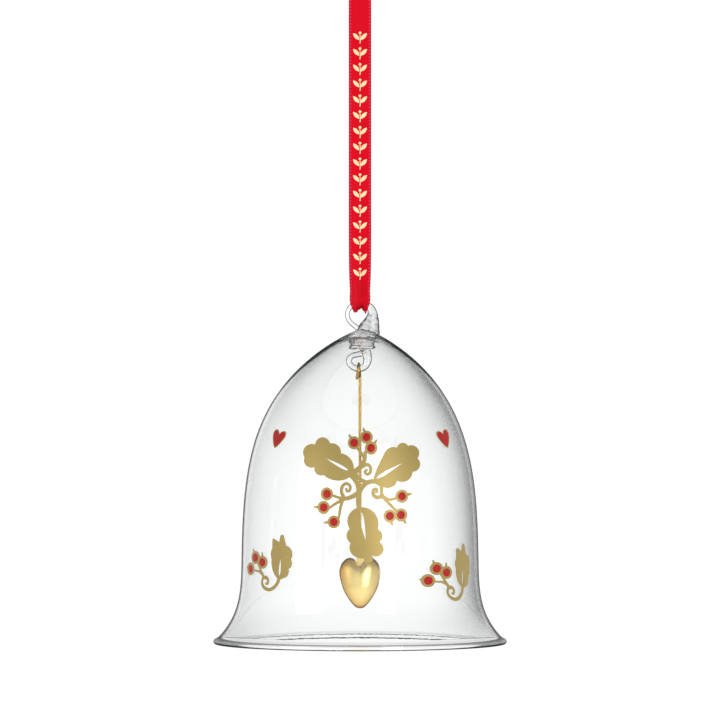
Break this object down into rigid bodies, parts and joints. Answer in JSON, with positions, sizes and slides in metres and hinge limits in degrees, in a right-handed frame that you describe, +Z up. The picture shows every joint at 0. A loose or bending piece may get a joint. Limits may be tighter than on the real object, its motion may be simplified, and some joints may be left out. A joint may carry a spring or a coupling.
{
  "type": "christmas bell ornament",
  "caption": "Hanging clear glass bell ornament with a flared rim, gold and red prints, a gold heart clapper on a wire, and a red satin ribbon loop.",
  "frame": {"origin": "the hang point: the inside top of the ribbon's loop, under the knot, where a hook or twig carries it", "axes": "+Z up along the ribbon, +X to the right of the front print, +Y to the back"},
  "size_m": [0.0914, 0.0914, 0.2232],
  "materials": {
    "red_satin": "woven satin",
    "clear_glass": "clear blown glass",
    "fired_gold": "fired bright gold, slightly satin",
    "red_enamel": "gloss fired enamel",
    "gold_wire": "gold-plated wire",
    "polished_gold": "mirror-polished gold plate"
  },
  "bodies": {
    "ribbon": {"ribbon": "red_satin", "ribbon_knot": "red_satin"},
    "bell": {"glass_bell": "clear_glass", "crown_seal": "clear_glass", "hanging_loop": "clear_glass", "clapper_loop": "clear_glass", "gold_sprig_front": "fired_gold", "red_berries_front": "red_enamel", "gold_sprig_left": "fired_gold", "red_berries_left": "red_enamel", "gold_sprig_right": "fired_gold", "red_berries_right": "red_enamel", "gold_heart_left": "fired_gold", "red_heart_left": "red_enamel", "gold_heart_right": "fired_gold", "red_heart_right": "red_enamel"},
    "clapper": {"clapper_wire": "gold_wire"},
    "heart": {"heart_tab": "polished_gold", "heart_clapper": "polished_gold"}
  },
  "joints": [
    {"name": "bell_swing", "type": "hinge", "parent": "ribbon", "child": "bell", "pos_m": [0, 0, -0.10093], "axis": [1, 0, 0], "range_deg": [-35, 35]},
    {"name": "clapper_swing", "type": "hinge", "parent": "bell", "child": "clapper", "pos_m": [0, 0, -0.12147], "axis": [1, 0, 0], "range_deg": [-28, 28]},
    {"name": "heart_rock", "type": "hinge", "parent": "clapper", "child": "heart", "pos_m": [0, 0, -0.17908], "axis": [0, 1, 0], "range_deg": [-35, 35]}
  ]
}
